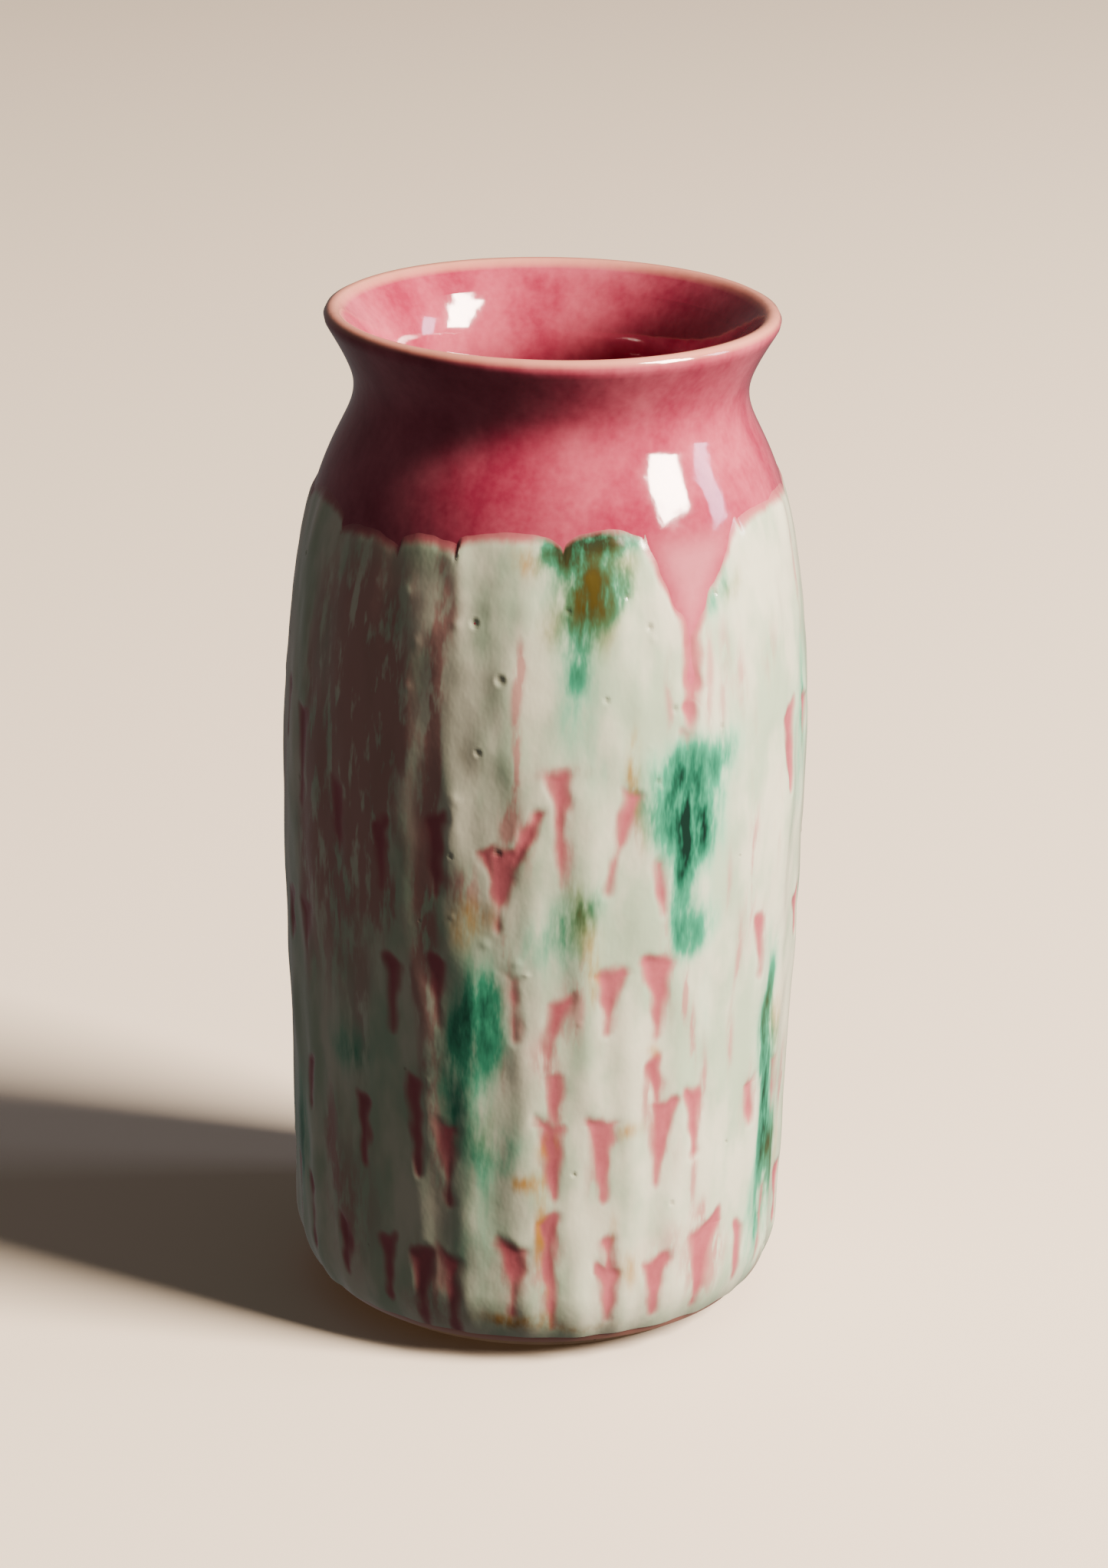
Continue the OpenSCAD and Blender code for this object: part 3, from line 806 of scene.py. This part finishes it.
    ripple = add_node(tree, "TexNoise", {"Vector": object_mm(tree, 1.6), "Scale": 1 / 2.4,
                                         "Detail": 2.0, "Roughness": 0.5})
    height = add_node(tree, "Math", {0: holes, 1: -1.4, 2: ripple}, operation="MULTIPLY_ADD")
    bump = add_node(tree, "Bump", {"Strength": 1.0, "Distance": 0.07 * MM, "Height": height})
    shader = add_node(tree, "BsdfPrincipled", {
        "Base Color": tone, "Roughness": 0.22, "IOR": 1.5, "Normal": bump,
        "Coat Weight": 0.3, "Coat Roughness": 0.12, "Coat IOR": 1.5})
    add_node(tree, "OutputMaterial", {"Surface": shader}, out=None)
    return material


# %% [markdown]
# ## Bare clay
# Iron-bearing stoneware, fired and left bare where the pot stands. It is matt and warm
# tan, with dark specks of iron and the fine tooth of a sponged and turned foot.

# %% Fired stoneware
# both clay tones are lifted paler than the clay: painted light standing in for the light the table doesn't
# throw back onto the foot
CLAY_LIGHT = "#dfbf9b"
CLAY_DARK = "#c09a76"
CLAY_SPECK = "#4a3528"


def fired_clay():
    material, tree = new_material("bare_stoneware_fired")
    clouds = add_node(tree, "TexNoise", {"Vector": object_mm(tree), "Scale": 1 / 5, "Detail": 5.0})
    tone = add_node(tree, "Mix", {0: clouds, COLOUR_A: colour(CLAY_LIGHT), COLOUR_B: colour(CLAY_DARK)},
                    **MIXES_COLOURS)
    specks = pits(tree, 1.6, 0.35)
    tone = add_node(tree, "Mix", {0: specks, COLOUR_A: tone, COLOUR_B: colour(CLAY_SPECK)},
                    **MIXES_COLOURS)
    tooth = add_node(tree, "TexNoise", {"Vector": object_mm(tree), "Scale": 1 / 0.4, "Detail": 4.0})
    bump = add_node(tree, "Bump", {"Strength": 1.0, "Distance": 0.06 * MM, "Height": tooth})
    shader = add_node(tree, "BsdfPrincipled", {"Base Color": tone, "Roughness": 0.82, "IOR": 1.5,
                                               "Normal": bump})
    add_node(tree, "OutputMaterial", {"Surface": shader}, out=None)
    return material


# %% Give each piece its finish
pink, cream, clay = pink_glaze(), cream_glaze(), fired_clay()
for piece, finish in [(pink_coat, pink), (liner, pink), (bpy.data.objects["clay_body"], clay),
                      *[(band, cream) for band in cream_bands]]:
    piece.data.materials.clear()
    piece.data.materials.append(finish)
print("materials:", pink.name, cream.name, clay.name)

# %% [markdown]
# ## Table, light and camera
# A plain pale table runs far enough back to fill the view. The key light is as wide and
# tall as a window seems from the table, high on the right, and a dimmer, cooler one
# stands lower beside it. The room itself gives only a little light, so the left of the
# vase falls into deep shade.

# %% Table top
bpy.ops.object.select_all(action="DESELECT")
bpy.ops.mesh.primitive_plane_add(size=6.0, location=(0, 0, -0.1 * MM))
table = bpy.context.object
table.name = "table_top"
material, tree = new_material("pale_table_top_matt")
shader = add_node(tree, "BsdfPrincipled", {"Base Color": colour("#d6cabc"), "Roughness": 0.9,
                                           "Specular IOR Level": 0.1})
add_node(tree, "OutputMaterial", {"Surface": shader}, out=None)
table.data.materials.append(material)
table.visible_diffuse = False      # it takes light and shadow, but throws no light back,
table.visible_glossy = False       # and the glaze doesn't mirror it
table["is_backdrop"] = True

# %% Window light, second light and room
VASE_MIDDLE = Vector((0, 0, 0.09))


def window(name, azimuth, elevation, distance, wide, tall, watts, tint):
    """An area light that faces the vase; azimuth counts from the front towards the right."""
    a, e = math.radians(azimuth), math.radians(elevation)
    lamp = bpy.data.lights.new(name, "AREA")
    lamp.shape = "RECTANGLE"
    lamp.size = wide
    lamp.size_y = tall
    lamp.energy = watts
    lamp.color = colour(tint)[:3]
    holder = bpy.data.objects.new(name, lamp)
    bpy.context.scene.collection.objects.link(holder)
    away = Vector((math.cos(e) * math.sin(a), -math.cos(e) * math.cos(a), math.sin(e)))
    holder.location = VASE_MIDDLE + distance * away
    holder.rotation_euler = away.to_track_quat("Z", "Y").to_euler()
    return holder


window("key_window", 68, 35, 2.4, 0.72, 1.24, 250, "#fff1e0")
window("second_window", 93, 20, 2.4, 0.42, 0.8, 12, "#dfe6ff")
ROOM_LIGHT = 0.15           # just enough to keep the shade side from going black
room = bpy.data.worlds.new("room")
room.use_nodes = True
backdrop = room.node_tree.nodes["Background"]
backdrop.inputs["Color"].default_value = colour("#fff6f2")
backdrop.inputs["Strength"].default_value = ROOM_LIGHT
bpy.context.scene.world = room
bpy.context.scene.view_settings.look = "AgX - Medium High Contrast"      # a deeper shade side

# %% Camera
camera_data = bpy.data.cameras.new("camera")
camera_data.lens = 105
camera_data.sensor_width = 36
camera = bpy.data.objects.new("camera", camera_data)
bpy.context.scene.collection.objects.link(camera)
LOOK_DOWN, ROLL = math.radians(19.48), math.radians(1.1)
camera.matrix_world = (Matrix.Translation((0.0016, -0.7191, 0.3427))
                       @ Matrix.Rotation(math.pi / 2 - LOOK_DOWN, 4, "X") @ Matrix.Rotation(ROLL, 4, "Z"))
bpy.context.scene.camera = camera

# %% [markdown]
# ## Size
# The box round all that is shown, the table left out, is measured.

# %% Size
low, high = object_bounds()
